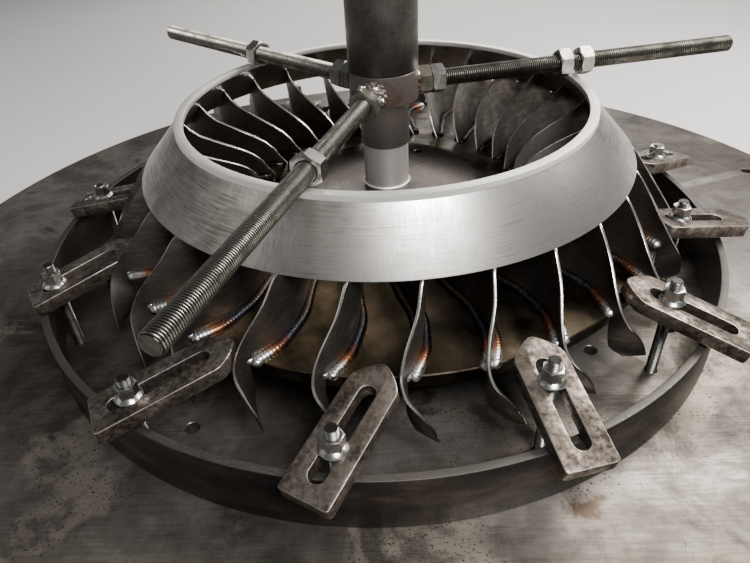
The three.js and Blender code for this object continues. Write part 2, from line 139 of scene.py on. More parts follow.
BLADE_COUNT = 28
BLADE_THICKNESS = 3 * MM
BLADE_BEVEL = 0.4 * MM
BLADE_TIP_RADIUS = 256.1 * MM
PITCH_ANGLE = 360 / BLADE_COUNT
# Radius and height in millimetres of the curved leading edge, from the hub to the shroud
LEADING_EDGE = [
    (158, 108.8), (161.5, 118), (165.5, 132), (176, 145.7), (190, 155.6),
    (206, 164), (222, 171.4), (240, 180.5), (256.1, 195.8),
]
# Millimetres and degrees: azimuth of a blade on the hub, and its top edge's lead over its foot, by radius
BLADE_CAMBER = [
    (145.2, -4.6), (170, -1.5), (199, 1.3), (225, 3.3), (250, 5), (271, 5.6), (297, 5.1), (318, 3.7),
    (352, 0.6),
]
BLADE_LEAN = [
    (158, 0.6), (161.5, 2.1), (165.5, 3.8), (176, 5), (190, 5.7), (206, 5.7),
    (222, 5.3), (240, 4.5), (256, 3.5), (280, 1.4), (297, 0), (352, 0),
]
# Rows of a blade from the leading edge outwards, in millimetres: the radius of each row's foot on the hub,
# and radius and height of the last rows' upper ends, which stand free of the shroud
PASSAGE_FEET = [158, 182, 210, 242, 269, 297, 318]
TRAILING_TIPS = [(294.7, 165.6), (312.7, 143.3)]
# The tail past the hub's rim: inner and outer edge as radius, height and azimuth
TAIL = [
    ((333, 88.8, 2.2), (331.6, 118.7, 1.9)),
    ((333.4, 79, 1.9), (345.6, 99.6, 1)),
    ((334, 68, 1.8), (355.3, 84.8, 1.5)),
    ((335, 57, 1.9), (361.7, 67.8, 3.5)),
    ((338.5, 46.5, 2), (365.1, 50.9, 5.3)),
    ((351, 38, 3), (366.3, 37.3, 6.2)),
]

# How finely a blade is divided, across and between the rows that are given
BLADE_COLUMNS, BLADE_STEPS = 10, 5

# Weld beads on both sides of each blade's foot. They thicken by a millimetre on their way out.
BEAD_START = 162 * MM
BEAD_END = 331 * MM
BEAD_STEP = 1.0 * MM
BEAD_OFFSET = 2.6 * MM
BEAD_RADIUS_MM = 5.0
BEAD_DROP_RADIUS = 6.2 * MM

STRAP_WIDTH = 48 * MM
STRAP_THICKNESS = 15 * MM
STRAP_BEVEL = 0.7 * MM
STRAP_CORNER = 4 * MM
# One side of the pointed end: distance from the tip and distance from the middle line
STRAP_POINT = [(0, 2 * MM), (5 * MM, 10 * MM), (12 * MM, 17.5 * MM), (21 * MM, STRAP_WIDTH / 2)]
SLOT_WIDTH = 16 * MM
SLOT_FROM_POINT = 24 * MM
SLOT_FROM_SQUARE = 15 * MM
TURNED_SLOT_FROM_POINT = 45 * MM
HEEL_RADIUS = 0.445
STUD_RADIUS = 5.9 * MM
STUD_PITCH = 1.75 * MM
STUD_DEPTH = 20 * MM
FLANGE_RADIUS = 13 * MM
FLANGE_HEIGHT = 4 * MM
FLANGE_SINK = 0.2 * MM
FLANGE_WALL = 1.6 * MM
STUD_NUT_FLATS = 18 * MM
STUD_NUT_HEIGHT = 12 * MM
GAP_AZIMUTH = 8.4
# Gap between blades, toe's radius, heel's azimuth, length, the stud's distance from the toe and its top
CLAMPS = [
    (-7.93, 316, -95.4, 120, 78, 107), (-6.02, 315, -65.5, 127, 99, 112), (-2.68, 329, -36.5, 138, 103, 110),
    (-0.73, 331, -9, 134, 88, 112), (1.09, 324, 20.1, 127, 49, 119), (2.95, 322, 50.9, 128, 49, 119),
    (4.72, 324, 82.2, 150, 39, 124), (6.85, 330, 107, 145, 76, 107), (10, 324, 139.5, 128, 62, 120),
    (12, 324, 160.5, 128, 68, 116), (15, 324, 204, 128, 64, 122), (17, 324, 224.5, 128, 70, 118),
]
# This strap lies with its pointed end outwards
TURNED_STRAP = 7


def new_object(name, data):
    made = bpy.data.objects.new(name, data)
    bpy.context.scene.collection.objects.link(made)
    return made


# The camera stands where the photograph's was

CAMERA_PLACE = (0, -0.7248, 0.5091)
CAMERA_PITCH, CAMERA_YAW, CAMERA_ROLL = 36.34, -1.816, -3.131
SENSOR_WIDTH = 36
FOCAL_LENGTH = 29.65


def make_camera():
    pitch, yaw, roll = (math.radians(angle) for angle in (CAMERA_PITCH, CAMERA_YAW, CAMERA_ROLL))
    forward = Vector((math.sin(yaw) * math.cos(pitch), math.cos(yaw) * math.cos(pitch), -math.sin(pitch)))
    level = Vector((math.cos(yaw), -math.sin(yaw), 0))
    upright = level.cross(forward)
    right = level * math.cos(roll) + upright * math.sin(roll)
    up = upright * math.cos(roll) - level * math.sin(roll)
    data = bpy.data.cameras.new("camera")
    data.sensor_width = SENSOR_WIDTH
    data.lens = FOCAL_LENGTH
    camera = new_object("camera", data)
    turn = Matrix((right, up, -forward)).transposed().to_4x4()
    camera.matrix_world = Matrix.Translation(CAMERA_PLACE) @ turn
    bpy.context.scene.camera = camera


def softbox(name, place, target, size, energy, colour=(1, 1, 1)):
    data = bpy.data.lights.new(name, "AREA")
    data.shape = "RECTANGLE"
    data.size, data.size_y = size
    data.energy = energy
    data.color = colour
    light = new_object(name, data)
    light.location = place
    light.rotation_euler = (Vector(target) - Vector(place)).to_track_quat("-Z", "Y").to_euler()


def make_lights():
    centre = (0, 0, 0.15)
    softbox("key", (0.42, -1.15, 1.4), centre, (0.6, 0.5), 37)
    softbox("side", (1.15, 0.3, 1.2), (0.3, -0.2, 0.05), (0.9, 0.9), 38, (1, 0.96, 0.92))
    softbox("back", (0.5, 2.1, 1.15), centre, (2.0, 0.9), 30, (1, 0.98, 0.95))
    softbox("fill", (-1.7, -0.5, 1.1), centre, (1.0, 1.0), 2, (1, 0.95, 0.88))
    world = bpy.data.worlds.new("studio")
    world.use_nodes = True
    background = world.node_tree.nodes["Background"]
    background.inputs["Color"].default_value = (0.9, 0.92, 1, 1)
    background.inputs["Strength"].default_value = 0.16
    bpy.context.scene.world = world


# Procedural materials

class Finish:
    """A material whose colour, roughness and relief come from nodes."""

    def __init__(self, name, metallic=1.0, roughness=0.4):
        self.material = bpy.data.materials.new(name)
        self.material.use_nodes = True
        self.tree = self.material.node_tree
        self.shader = self.tree.nodes["Principled BSDF"]
        self.shader.inputs["Metallic"].default_value = metallic
        self.shader.inputs["Roughness"].default_value = roughness
        self.place = self.tree.nodes.new("ShaderNodeTexCoord").outputs["Object"]

    def node(self, kind, inputs=(), **settings):
        node = self.tree.nodes.new("ShaderNode" + kind)
        for key, value in settings.items():
            setattr(node, key, value)
        for key, value in inputs:
            if isinstance(value, bpy.types.NodeSocket):
                self.tree.links.new(value, node.inputs[key])
            else:
                node.inputs[key].default_value = value
        return node

    def math(self, operation, *values):
        return self.node("Math", list(enumerate(values)), operation=operation).outputs[0]

    def weighted(self, *pairs):
        """Sum of values, each times its weight."""
        total = None
        for value, weight in pairs:
            scaled = self.math("MULTIPLY", value, weight)
            total = scaled if total is None else self.math("ADD", total, scaled)
        return total

    def swing(self, noise, amount):
        """Noise turned into a value that swings round zero."""
        return self.math("MULTIPLY", self.math("SUBTRACT", noise, 0.5), amount)

    def stretch(self, x, y, z):
        return self.node("Mapping", [("Vector", self.place), ("Scale", (x, y, z))]).outputs[0]

    def height(self):
        return self.node("SeparateXYZ", [(0, self.place)]).outputs[2]

    def turned(self, radial, around, upward):
        """Place as distance from the axis, way round it and height, each with a scale of its own."""
        parts = self.node("SeparateXYZ", [(0, self.place)])
        x, y, z = parts.outputs
        squares = self.math("ADD", self.math("MULTIPLY", x, x), self.math("MULTIPLY", y, y))
        radius = self.math("SQRT", squares)
        angle = self.math("ARCTAN2", y, x)
        joined = self.node("CombineXYZ", [
            (0, self.math("MULTIPLY", radius, radial)),
            (1, self.math("MULTIPLY", angle, around)),
            (2, self.math("MULTIPLY", z, upward)),
        ])
        return joined.outputs[0]

    def noise(self, scale, place=None, detail=4, roughness=0.55, distortion=0.0):
        node = self.node("TexNoise", [
            ("Vector", place or self.place), ("Scale", scale), ("Detail", detail),
            ("Roughness", roughness), ("Distortion", distortion),
        ])
        return node.outputs[0]

    def range(self, value, low, high, to_low=0.0, to_high=1.0):
        node = self.node("MapRange", [
            ("Value", value), ("From Min", low), ("From Max", high), ("To Min", to_low), ("To Max", to_high),
        ])
        return node.outputs[0]

    def ramp(self, value, stops):
        node = self.node("ValToRGB", [("Fac", value)])
        elements = node.color_ramp.elements
        while len(elements) < len(stops):
            elements.new(0.5)
        for element, (position, colour) in zip(elements, stops):
            element.position = position
            element.color = (*colour, 1)
        return node.outputs[0]

    def mix(self, share, first, second):
        colours = [(*colour, 1) if isinstance(colour, tuple) else colour for colour in (first, second)]
        inputs = list(zip((0, 6, 7), (share, *colours)))
        return self.node("Mix", inputs, data_type="RGBA").outputs[2]

    def set(self, name, value):
        self.tree.links.new(value, self.shader.inputs[name])

    def colour(self, value, stops):
        self.set("Base Color", self.ramp(value, stops))

    def attribute(self, name):
        return self.node("Attribute", attribute_name=name).outputs["Fac"]

    def relief(self, height, depth, strength=1.0):
        inputs = [("Height", height), ("Distance", depth), ("Strength", strength)]
        self.set("Normal", self.node("Bump", inputs).outputs[0])

    def rough(self, value, low, high, at_low, at_high):
        self.set("Roughness", self.range(value, low, high, at_low, at_high))


def steel_finish(name, dark, light, blotch, shine=(0.3, 0.5)):
    """Plain steel: cloudy colour, uneven shine and a fine grain."""
    finish = Finish(name)
    cloud = finish.noise(blotch, detail=6, roughness=0.62)
    grain = finish.noise(420, detail=2)
    tone = finish.weighted((cloud, 0.75), (grain, 0.25))
    finish.colour(tone, [(0.36, dark), (0.62, light)])
    finish.rough(tone, 0.35, 0.65, shine[1], shine[0])
    finish.relief(grain, 0.05 * MM)
    return finish


def shroud_finish():
    """Ground steel: fine lines round the cone, crossed by the marks of the grinding disc."""
    finish = Finish("shroud_steel")
    lines = finish.noise(1, finish.turned(900, 7, 900), detail=3)
    crossing = finish.noise(1, finish.turned(60, 190, 60), detail=3)
    patches = finish.noise(11, detail=5, roughness=0.6)
    spots = finish.noise(60, detail=3)
    share = finish.range(patches, 0.42, 0.6)
    marks = finish.mix(share, lines, crossing)
    tone = finish.weighted((patches, 0.5), (marks, 0.35), (spots, 0.15))
    cone = finish.ramp(tone, [
        (0.38, (0.22, 0.20, 0.18)), (0.5, (0.50, 0.47, 0.43)), (0.62, (0.80, 0.78, 0.74)),
    ])
    height = finish.height()
    seam = TABLE_TOP + LIP_BOTTOM
    lip = finish.range(height, seam - 0.5 * MM, seam + 0.5 * MM)
    finish.set("Base Color", finish.mix(lip, cone, (0.84, 0.82, 0.78)))
    rubbed = finish.range(tone, 0.38, 0.62, 0.44, 0.26)
    finish.set("Roughness", finish.math("ADD", rubbed, finish.math("MULTIPLY", lip, 0.2)))
    finish.relief(marks, 0.09 * MM, 0.9)
    return finish


def machined_finish(name, dark, light, shine):
    """Turned steel: hardly visible tool marks round the axis under faint clouds."""
    finish = Finish(name)
    lines = finish.noise(1, finish.turned(2200, 0.4, 2200), detail=1)
    cloud = finish.noise(9, detail=4)
    tone = finish.weighted((lines, 0.3), (cloud, 0.7))
    finish.colour(tone, [(0.36, dark), (0.62, light)])
    finish.rough(tone, 0.38, 0.62, shine[1], shine[0])
    finish.relief(lines, 0.006 * MM, 0.4)
    return finish


def hub_finish():
    """Heat-tinted plate: brown and olive, with straw, copper and blue bands beside the welds."""
    finish = Finish("hub_steel")
    cloud = finish.noise(13, detail=6, roughness=0.6)
    fine = finish.noise(300, detail=3)
    wander = finish.math("ADD", finish.attribute("heat"), finish.swing(cloud, 0.5))
    plain = finish.ramp(cloud, [
        (0.36, (0.030, 0.024, 0.016)), (0.5, (0.082, 0.065, 0.043)), (0.66, (0.20, 0.15, 0.10)),
    ])
    tint = finish.ramp(wander, [
        (0.25, (0.075, 0.055, 0.03)), (0.45, (0.14, 0.08, 0.035)), (0.6, (0.08, 0.03, 0.02)),
        (0.72, (0.025, 0.025, 0.04)), (0.85, (0.035, 0.05, 0.07)), (1.0, (0.07, 0.07, 0.07)),
    ])
    finish.set("Base Color", finish.mix(finish.range(wander, 0.12, 0.4), plain, tint))
    finish.rough(finish.noise(24, detail=5), 0.38, 0.62, 0.48, 0.22)
    finish.relief(fine, 0.05 * MM)
    return finish


def bead_finish():
    """Weld metal: silver at the outer end, then copper, then blue and dark brown inwards."""
    finish = Finish("weld_bead")
    radius = finish.node("SeparateXYZ", [(0, finish.turned(1, 0, 1))]).outputs[0]
    wander = finish.swing(finish.noise(60, detail=3), 0.022)
    reach = finish.range(finish.math("ADD", radius, wander), 0.16, 0.338)
    finish.colour(reach, [
        (0.0, (0.035, 0.03, 0.026)), (0.55, (0.055, 0.042, 0.034)), (0.74, (0.045, 0.050, 0.068)),
        (0.83, (0.13, 0.055, 0.035)), (0.89, (0.40, 0.18, 0.095)), (0.945, (0.58, 0.57, 0.55)),
    ])
    finish.rough(finish.noise(300, detail=2), 0.35, 0.65, 0.24, 0.44)
    finish.relief(finish.noise(260, detail=3), 0.3 * MM, 0.6)
    return finish


def blade_finish():
    """Cut plate with its dull scale, rubbed lighter in places."""
    finish = Finish("blade_steel", 0.95)
    cloud = finish.noise(16, detail=6, roughness=0.62)
    streaks = finish.noise(1, finish.stretch(60, 60, 240), detail=3)
    tone = finish.weighted((cloud, 0.7), (streaks, 0.3))
    finish.colour(tone, [
        (0.36, (0.055, 0.048, 0.042)), (0.5, (0.13, 0.115, 0.10)), (0.64, (0.26, 0.235, 0.21)),
    ])
    finish.rough(tone, 0.36, 0.64, 0.55, 0.33)
    finish.relief(streaks, 0.05 * MM)
    return finish


def collar_finish():
    """Steel with patches of rust, rough where it rusts."""
    finish = Finish("collar_rust", 0.7)
    patches = finish.noise(38, detail=7, roughness=0.68)
    grit = finish.noise(700, detail=3)
    rusty = finish.range(patches, 0.45, 0.62)
    clean = finish.ramp(grit, [(0.35, (0.102, 0.09, 0.078)), (0.65, (0.17, 0.15, 0.13))])
    rust = finish.ramp(grit, [(0.35, (0.06, 0.0375, 0.026)), (0.65, (0.12, 0.075, 0.052))])
    finish.set("Base Color", finish.mix(rusty, clean, rust))
    finish.rough(rusty, 0, 1, 0.42, 0.78)
    finish.relief(finish.math("MULTIPLY", patches, grit), 0.25 * MM, 0.6)
    return finish


def ring_finish():
    """Rolled flat bar: dark scale, with the top edge rubbed bright."""
    finish = Finish("ring_scale", 0.85)
    cloud = finish.noise(1, finish.turned(14, 3, 26), detail=6, roughness=0.65)
    grit = finish.noise(520, detail=3)
    height = finish.height()
    edge = TABLE_TOP + RING_HEIGHT
    wander = finish.swing(cloud, 3 * MM)
    rubbed = finish.range(finish.math("ADD", height, wander), edge - 1.6 * MM, edge - 0.4 * MM)
    scale = finish.ramp(cloud, [
        (0.35, (0.020, 0.018, 0.016)), (0.55, (0.055, 0.047, 0.041)), (0.7, (0.14, 0.105, 0.08)),
    ])
    finish.set("Base Color", finish.mix(finish.math("MULTIPLY", rubbed, 0.8), scale, (0.115, 0.105, 0.095)))
    finish.rough(grit, 0.35, 0.65, 0.38, 0.6)
    finish.relief(grit, 0.06 * MM)
    return finish


def table_finish():
    """Round plate: grey brown steel with worn patches, stains, scratches and clusters of small spots."""
    finish = Finish("table_steel", 0.8)
    cloud = finish.noise(3.1, detail=9, roughness=0.62, distortion=0.4)
    stains = finish.noise(13, detail=8, roughness=0.7, distortion=0.3)
    grit = finish.noise(640, detail=3)
    scratches = finish.noise(1, finish.stretch(26, 520, 60), detail=4, roughness=0.7)
    spots = finish.noise(430, detail=2)
    clusters = finish.noise(8, detail=3)
    tone = finish.weighted((cloud, 0.5), (stains, 0.38), (scratches, 0.12))
    plain = finish.ramp(tone, [
        (0.41, (0.050, 0.042, 0.035)), (0.5, (0.150, 0.130, 0.112)), (0.59, (0.34, 0.315, 0.285)),
    ])
    brown = finish.mix(finish.range(stains, 0.56, 0.66), plain, (0.10, 0.072, 0.050))
    worn = finish.math("MULTIPLY", finish.range(clusters, 0.56, 0.6), finish.range(stains, 0.42, 0.5))
    brown = finish.mix(finish.math("MULTIPLY", worn, 0.5), brown, (0.32, 0.28, 0.22))
    speckled = finish.math("MULTIPLY", finish.range(spots, 0.61, 0.66), finish.range(clusters, 0.5, 0.58))
    finish.set("Base Color", finish.mix(speckled, brown, (0.03, 0.025, 0.02)))
    finish.rough(tone, 0.40, 0.60, 0.55, 0.30)
    finish.relief(finish.weighted((grit, 0.5), (scratches, 0.5)), 0.08 * MM)
    return finish


def thread_finish(name, dark, light):
    """Plated thread: the plain colour on the crests, with painted shade darkening the grooves."""
    finish = steel_finish(name, dark, light, 45, (0.22, 0.42))
    plain = finish.shader.inputs["Base Color"].links[0].from_socket
    # Painted shade: the grooves get a near-black colour by how deep each point lies, and the crests keep the
    # plain colour.
    crest = finish.range(finish.attribute("crest"), 0.25, 0.8)
    finish.set("Base Color", finish.mix(crest, (0.022, 0.02, 0.017), plain))
    return finish


def strap_finish():
    """Old forged steel: brown grey, pitted, with darker and lighter worn patches."""
    finish = Finish("strap_worn", 0.9)
    cloud = finish.noise(26, detail=7, roughness=0.66)
    pits = finish.noise(210, detail=3, roughness=0.6)
    tone = finish.weighted((cloud, 0.6), (pits, 0.4))
    finish.colour(tone, [
        (0.40, (0.040, 0.032, 0.025)), (0.5, (0.145, 0.118, 0.095)), (0.60, (0.33, 0.285, 0.240)),
    ])
    finish.rough(tone, 0.40, 0.60, 0.58, 0.32)
    finish.relief(pits, 0.35 * MM, 0.7)
    return finish


def floor_finish():
    finish = Finish("pale_floor", 0.0, 0.85)
    cloud = finish.noise(2, detail=3)
    finish.colour(cloud, [(0.3, (0.70, 0.69, 0.67)), (0.7, (0.74, 0.73, 0.71))])
    return finish


FINISHES = {
    "table": table_finish(),
    "ring": ring_finish(),
    "hub": hub_finish(),
    "bead": bead_finish(),
    "shroud": shroud_finish(),
    "blade": blade_finish(),
    "machined": machined_finish("machined_face", (0.036, 0.029, 0.024), (0.08, 0.066, 0.057), (0.22, 0.34)),
    "turned_bright": machined_finish("turned_bright", (0.9, 0.87, 0.82), (0.98, 0.96, 0.93), (0.38, 0.52)),
    "dull_nut": steel_finish("dull_zinc", (0.13, 0.12, 0.095), (0.40, 0.38, 0.32), 50, (0.24, 0.42)),
    "shaft_grey": steel_finish("shaft_grey", (0.17, 0.15, 0.14), (0.26, 0.235, 0.22), 22),
    "cut_edge": steel_finish("cut_edge", (0.52, 0.48, 0.43), (0.82, 0.79, 0.74), 40, (0.18, 0.36)),
    "tube": steel_finish("tube_steel", (0.035, 0.032, 0.028), (0.11, 0.10, 0.09), 18, (0.36, 0.55)),
    "collar": collar_finish(),
    "thread": thread_finish("rod_thread", (0.10, 0.095, 0.08), (0.33, 0.315, 0.27)),
    "stud": thread_finish("stud_thread", (0.20, 0.195, 0.175), (0.46, 0.45, 0.41)),
    "nut": steel_finish("zinc_nut", (0.26, 0.25, 0.225), (0.56, 0.545, 0.51), 60, (0.2, 0.36)),
    "flange_nut": steel_finish("bright_zinc", (0.32, 0.32, 0.30), (0.66, 0.66, 0.63), 60, (0.16, 0.32)),
    "strap": strap_finish(),
    "strap_edge": steel_finish("strap_edge", (0.16, 0.14, 0.12), (0.62, 0.58, 0.53), 90),
    "weld_silver": steel_finish("weld_silver", (0.45, 0.43, 0.40), (0.80, 0.78, 0.74), 90, (0.15, 0.32)),
}


# Shapes

def add_object(name, mesh, finishes, replaced=None, body="root", turn=0):
    for finish in finishes:
        mesh.materials.append(FINISHES[finish].material)
    piece = new_object(name, mesh)
    piece.rotation_euler.z = math.radians(turn)
    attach(piece, body)
    if replaced:
        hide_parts(replaced)
    return piece


def add_part(name, part, finish, replaced=None, body="root", matrix=None):
    return add_object(name, make_mesh(name, *part, matrix=matrix), [finish], replaced, body)


def make_mesh(name, points, faces, smooth_angle=32, face_slots=None, matrix=None):
    mesh = bpy.data.meshes.new(name)
    mesh.from_pydata([tuple(p) for p in points], [], faces)
    work = bmesh.new()
    work.from_mesh(mesh)
    if face_slots:
        work.faces.ensure_lookup_table()
        for face, slot in zip(work.faces, face_slots):
            face.material_index = slot
    bmesh.ops.remove_doubles(work, verts=work.verts, dist=1e-6)
    bmesh.ops.dissolve_degenerate(work, edges=work.edges, dist=1e-6)
    bmesh.ops.recalc_face_normals(work, faces=work.faces)
    work.to_mesh(mesh)
    work.free()
    if matrix:
        mesh.transform(matrix)
    mesh.shade_smooth()
    mesh.set_sharp_from_angle(angle=math.radians(smooth_angle))
    return mesh


def join_parts(parts):
    """One list of points and faces from several."""
    points, faces = [], []
    for part_points, part_faces in parts:
        start = len(points)
        points += part_points
        faces += [tuple(start + i for i in face) for face in part_faces]
    return points, faces


def transformed(part, matrix):
    points, faces = part
    return [matrix @ Vector(p) for p in points], faces


def rounded(corners, radius, steps):
    """A polygon with each corner turned into a short curve."""
    count = len(corners)
    points = []
    for i, corner in enumerate(corners):
        here = Vector(corner)
        before, after = Vector(corners[i - 1]), Vector(corners[(i + 1) % count])
        reach = min(radius, (before - here).length * 0.45, (after - here).length * 0.45)
        start = here + (before - here).normalized() * reach
        end = here + (after - here).normalized() * reach
        for k in range(steps + 1):
            t = k / steps
            points.append(start * (1 - t) ** 2 + here * 2 * t * (1 - t) + end * t ** 2)
    return points


def lathe(profile, segments, closed=True):
    """A profile of radius and height points turned about Z. An open profile starts and ends on the axis."""
    points, rings = [], []
    for radius, height in profile:
        if radius < 1e-9:
            rings.append([len(points)] * segments)
            points.append(Vector((0, 0, height)))
            continue
        rings.append(range(len(points), len(points) + segments))
        for k in range(segments):
            angle = 2 * math.pi * k / segments
            points.append(Vector((radius * math.sin(angle), -radius * math.cos(angle), height)))
    faces = []
    pairs = list(zip(rings, rings[1:])) + ([(rings[-1], rings[0])] if closed else [])
    for lower, upper in pairs:
        for k in range(segments):
            n = (k + 1) % segments
            corners = [lower[k], lower[n], upper[n], upper[k]]
            # A ring on the axis repeats one point, which counts once in a face
            faces.append(tuple(dict.fromkeys(corners)))
    return points, faces


def raised(profile):
    return [(radius, height + TABLE_TOP) for radius, height in profile]


def soft_profile(corners, radius, steps=3):
    """Rounded corners, raised onto the table."""
    return raised(rounded(corners, radius, steps))


def sleeve(inner, outer, bottom, top, edge):
    """The profile of a round tube with soft edges."""
    return soft_profile([(inner, bottom), (outer, bottom), (outer, top), (inner, top)], edge)


def band(low, high, count):
    """Faces between two closed loops of points, each loop given by the number of its first point."""
    faces = []
    for k in range(count):
        n = (k + 1) % count
        faces.append((low + k, low + n, high + n, high + k))
    return faces


def prism_rings(rings):
    """Closed loops of equal length joined one after another, each end closed by a fan."""
    count = len(rings[0])
    points = [p for ring in rings for p in ring]
    faces = []
    for r in range(len(rings) - 1):
        faces += band(r * count, (r + 1) * count, count)
    for r in (0, len(rings) - 1):
        points.append(sum((Vector(p) for p in rings[r]), Vector()) / count)
        for k in range(count):
            faces.append((r * count + k, r * count + (k + 1) % count, len(points) - 1))
    return points, faces


def thread(radius, pitch, start, end, segments):
    """A threaded bar along Z with a chamfer at its end."""
    depth = THREAD_DEPTH * pitch
    wave = (0, 0, -0.5 * depth, -depth, -0.5 * depth)
    rows = math.ceil((end - start) / pitch + 1) * len(wave)
    points = []
    for i in range(rows + 1):
        for k in range(segments):
            share = k / segments
            height = start - pitch + pitch * (i / len(wave) + share)
            height = min(max(height, start), end)
            reach = min(radius + wave[i % len(wave)], radius - depth + (end - height) * END_SLOPE)
            angle = 2 * math.pi * share
            points.append(Vector((reach * math.cos(angle), reach * math.sin(angle), height)))
    faces = []
    for i in range(rows):
        for k in range(segments):
            wrap = k + 1 == segments
            n = 0 if wrap else k + 1
            # The thread climbs one pitch in a turn, so the seam joins rows one turn apart
            low = i + len(wave) if wrap else i
            if low + 1 <= rows:
                near, far = i * segments + k, low * segments + n
                faces.append((near, far, far + segments, near + segments))
    return points, faces


def threaded_bar(name, radius, pitch, start, end, segments, matrix):
    """A thread on a plain core that closes its ends. Each point knows how near it is to the crests, which
    the finish uses to paint shade into the grooves.
    """
    depth = THREAD_DEPTH * pitch
    core_radius = radius - THREAD_CORE * depth
    core = lathe([(0, start), (core_radius, start), (core_radius, end), (0, end)], segments, False)
    parts = join_parts([thread(radius, pitch, start, end, segments), core])
    mesh = make_mesh(name, *parts, smooth_angle=40)
    crest = mesh.attributes.new("crest", "FLOAT", "POINT")
    for vert in mesh.vertices:
        lift = math.hypot(vert.co.x, vert.co.y) - (radius - depth)
        at_end = vert.co.z > end - 0.01 * MM
        # Grooves get painted shade from this value, and the end face gets a set share of painted light
        crest.data[vert.index].value = END_PAINTED_LIGHT if at_end else min(1, max(0, lift / depth))
    mesh.transform(matrix)
    return mesh


def hex_nut(flats, bottom, top, bore):
    """A hexagon nut along Z: corners cut by cones, so that each side ends in an arc."""
    around = 6 * 8
    rings = [[] for _ in range(8)]
    cone = NUT_CONE * flats / 2
    for k in range(around):
        angle = 2 * math.pi * k / around
        side = (angle % (math.pi / 3)) - math.pi / 6
        reach = flats / 2 / math.cos(side)
        drop = max(0, reach - cone) * math.tan(math.radians(30))
        direction = Vector((math.cos(angle), math.sin(angle), 0))
        flat = min(reach, cone)
        mouth = bore + MM
        sizes = [
            (bore, bottom + MM), (mouth, bottom), (flat, bottom), (reach, bottom + drop),
            (reach, top - drop), (flat, top), (mouth, top), (bore, top - MM),
        ]
        for ring, (radius, height) in zip(rings, sizes):
            ring.append(direction * radius + Vector((0, 0, height)))
    points = [p for ring in rings for p in ring]
    faces = []
    for r in range(len(rings)):
        faces += band(r * around, (r + 1) % len(rings) * around, around)
    return points, faces


def sweep(path, radii, sides):
    """A round bar along a path, its radius given at each point, with closed ends."""
    rings = []
    for i, here in enumerate(path):
        along = (path[min(i + 1, len(path) - 1)] - path[max(i - 1, 0)]).normalized()
        across = along.cross(Vector((0, 0, 1))).normalized()
        up = across.cross(along)
        ring = []
        for k in range(sides):
            angle = 2 * math.pi * k / sides
            ring.append(here + (across * math.cos(angle) + up * math.sin(angle)) * radii[i])
        rings.append(ring)
    return prism_rings(rings)


def blob(centre, radius, squash=(1, 1, 1), roughness=0.16):
    """A lumpy drop of weld metal."""
    work = bmesh.new()
    bmesh.ops.create_icosphere(work, subdivisions=3, radius=1)
    points = []
    for vert in work.verts:
        stretch = 1 + random.uniform(-roughness, roughness) * 0.4
        wave = 1 + roughness * math.sin(5 * vert.co.x + 3 * vert.co.y) * math.cos(4 * vert.co.z)
        offset = Vector([c * s for c, s in zip(vert.co, squash)]) * radius * stretch * wave
        points.append(Vector(centre) + offset)
    faces = [tuple(v.index for v in face.verts) for face in work.faces]
    work.free()
    return points, faces


def polar(radius, azimuth, height=0.0):
    angle = math.radians(azimuth)
    return Vector((radius * math.sin(angle), -radius * math.cos(angle), height))


def along_rod(azimuth):
    """Lays +Z along a rod, outwards, with +X pointing down."""
    turn = Matrix.Rotation(math.radians(azimuth - 90), 4, "Z") @ Matrix.Rotation(math.pi / 2, 4, "Y")
    return Matrix.Translation((0, 0, TABLE_TOP + ROD_HEIGHT)) @ turn


def cut_holes(piece, cutters):
    """Cuts the cutters' shapes out of a piece for good."""
    cutter = new_object("cutter", make_mesh("cutter", *join_parts(cutters)))
    modifier = piece.modifiers.new("holes", "BOOLEAN")
    modifier.object = cutter
    modifier.solver = "EXACT"
    bpy.context.view_layer.update()
    evaluated = piece.evaluated_get(bpy.context.evaluated_depsgraph_get())
    mesh = bpy.data.meshes.new_from_object(evaluated)
    piece.modifiers.clear()
    piece.data = mesh
    mesh.set_sharp_from_angle(angle=math.radians(32))
    bpy.data.objects.remove(cutter)


def hole_cutter(radius, place, bottom, top, countersink):
    """A drill with a wider top, for a hole with a broken edge."""
    profile = [
        (0, bottom), (radius, bottom), (radius, top - countersink),
        (radius + 2 * countersink, top + countersink), (0, top + countersink),
    ]
    return transformed(lathe(profile, HOLE_SIDES, False), Matrix.Translation((place.x, place.y, 0)))


# Clamp places, needed by the table's stud holes and by the clamps

def clamp_place(clamp):
    gap, toe_radius, heel_azimuth, _, stud, _ = clamp
    toe = polar(toe_radius * MM, GAP_AZIMUTH + gap * PITCH_ANGLE)
    direction = (polar(HEEL_RADIUS, heel_azimuth) - toe).normalized()
    return toe, direction, toe + direction * stud * MM


# Table plate, standing ring, hub and shroud

def make_table():
    profile = rounded([
        (MM, TABLE_BOTTOM), (TABLE_RADIUS, TABLE_BOTTOM), (TABLE_RADIUS, TABLE_TOP), (MM, TABLE_TOP),
    ], TABLE_EDGE, 2)
    profile = [(0, TABLE_BOTTOM)] + [tuple(p) for p in profile if p.x > 2 * MM] + [(0, TABLE_TOP)]
    table = add_part("table_top_plate", lathe(profile, PLATE_SIDES, False), "table", "table_plate")
    cutters = []
    for radius, azimuth in TABLE_HOLES:
        place = polar(radius, azimuth)
        cutters.append(hole_cutter(TABLE_HOLE_RADIUS, place, DRILL_END, TABLE_TOP, COUNTERSINK))
    for clamp in CLAMPS:
        place = clamp_place(clamp)[2]
        cutters.append(hole_cutter(STUD_RADIUS + 2 * SEAT, place, DRILL_END, TABLE_TOP, STUD_COUNTERSINK))
    cut_holes(table, cutters)


def make_ring():
    profile = sleeve(RING_RADIUS - RING_WALL, RING_RADIUS, SEAT, RING_HEIGHT, RING_EDGE)
    shift = Matrix.Translation((RING_SHIFT_X, 0, 0))
    add_part("rolled_ring", lathe(profile, PLATE_SIDES), "ring", "standing_ring", matrix=shift)


